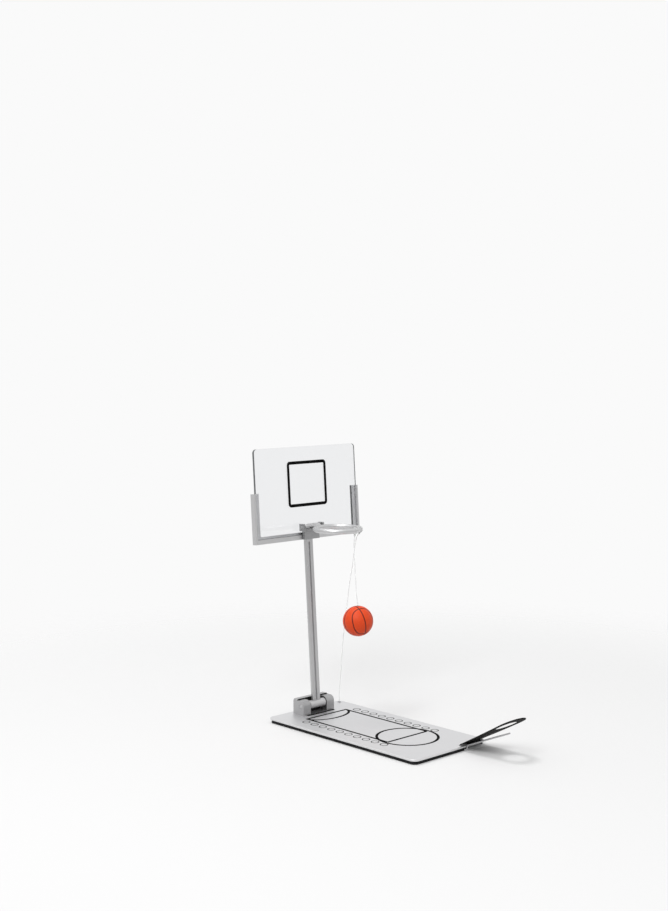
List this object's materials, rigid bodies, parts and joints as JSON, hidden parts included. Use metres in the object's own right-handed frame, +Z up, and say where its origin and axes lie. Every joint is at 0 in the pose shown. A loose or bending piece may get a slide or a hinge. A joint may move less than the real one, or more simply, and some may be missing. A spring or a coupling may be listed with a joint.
{
  "type": "tabletop basketball game",
  "caption": "Desk basketball toy: court plate with a folding mast, clear backboard, folding hoop, ball on a string and a springy leaf launcher.",
  "frame": {"origin": "centre of the underside of the base pad, on the surface the game stands on", "axes": "+Z up, -Y from the mast along the court towards the launcher, +X to the right seen from the launcher"},
  "size_m": [0.1122, 0.2045, 0.2175],
  "materials": {
    "aluminium": "brushed, satin anodised",
    "polished": "polished",
    "steel": "satin",
    "black_steel": "black, semi-matte",
    "clamp_steel": "satin",
    "foam": "matte black foam",
    "acrylic": "clear, faintly frosted",
    "ball": "orange, fine grain",
    "plug": "matte black",
    "line": "clear nylon line",
    "washer": "black nylon"
  },
  "bodies": {
    "base": {"court_plate": "aluminium", "base_pad": "foam", "hinge_block": "aluminium", "block_screw_left": "steel", "block_screw_right": "steel", "hinge_pin": "steel", "tether_low": "line", "tether_grommet": "steel", "tether_knot": "line", "spring_tail": "black_steel", "clamp_bar": "clamp_steel", "clamp_screw_left": "steel", "clamp_screw_right": "steel", "wire_leg": "steel"},
    "mast_and_board": {"mast_barrel": "aluminium", "barrel_washer_left": "washer", "barrel_washer_right": "washer", "mast": "aluminium", "backboard_frame": "aluminium", "backboard_panel": "acrylic", "mast_screw": "steel", "hoop_bracket": "aluminium", "bracket_screw_left": "steel", "bracket_screw_right": "steel", "hoop_pin": "steel", "tether_high": "line"},
    "hoop": {"hoop_ring": "polished", "string_winding": "line"},
    "knot": {"string_knot": "line"},
    "hanging_ball": {"ball": "ball", "ball_plug": "plug", "ball_string": "line"},
    "launcher": {"launcher_leaf": "black_steel"},
    "wire": {"stop_wire": "steel"}
  },
  "joints": [
    {"name": "pole_fold", "type": "hinge", "parent": "base", "child": "mast_and_board", "pos_m": [0, 0.066, 0.01102], "axis": [1, 0, 0], "range_deg": [0, 55], "deforming": ["tether_low"]},
    {"name": "hoop_fold", "type": "hinge", "parent": "mast_and_board", "child": "hoop", "pos_m": [0, 0.07068, 0.15434], "axis": [-1, 0, 0], "range_deg": [0, 90], "deforming": ["tether_high"]},
    {"name": "string_hang", "type": "hinge", "parent": "hoop", "child": "knot", "pos_m": [0.00239, 0.02405, 0.15434], "axis": [-1, 0, 0], "range_deg": [-72, 0]},
    {"name": "ball_swing", "type": "hinge", "parent": "knot", "child": "hanging_ball", "pos_m": [0.00239, 0.02405, 0.15094], "axis": [0, 1, 0], "range_deg": [-20, 20]},
    {"name": "launcher_press", "type": "hinge", "parent": "base", "child": "launcher", "pos_m": [0.0247, -0.0766, 0.00452], "axis": [1, 0, 0], "range_deg": [0, 17.5], "stiffness_Nm_per_rad": 0.2},
    {"name": "wire_press", "type": "hinge", "parent": "base", "child": "wire", "pos_m": [0.016, -0.08065, 0.00422], "axis": [1, 0, 0], "range_deg": [0, 16]}
  ],
  "couplings": [
    {"joint": "string_hang", "follows": "hoop_fold", "ratio": -0.8},
    {"joint": "wire_press", "follows": "launcher_press", "ratio": 0.9}
  ]
}
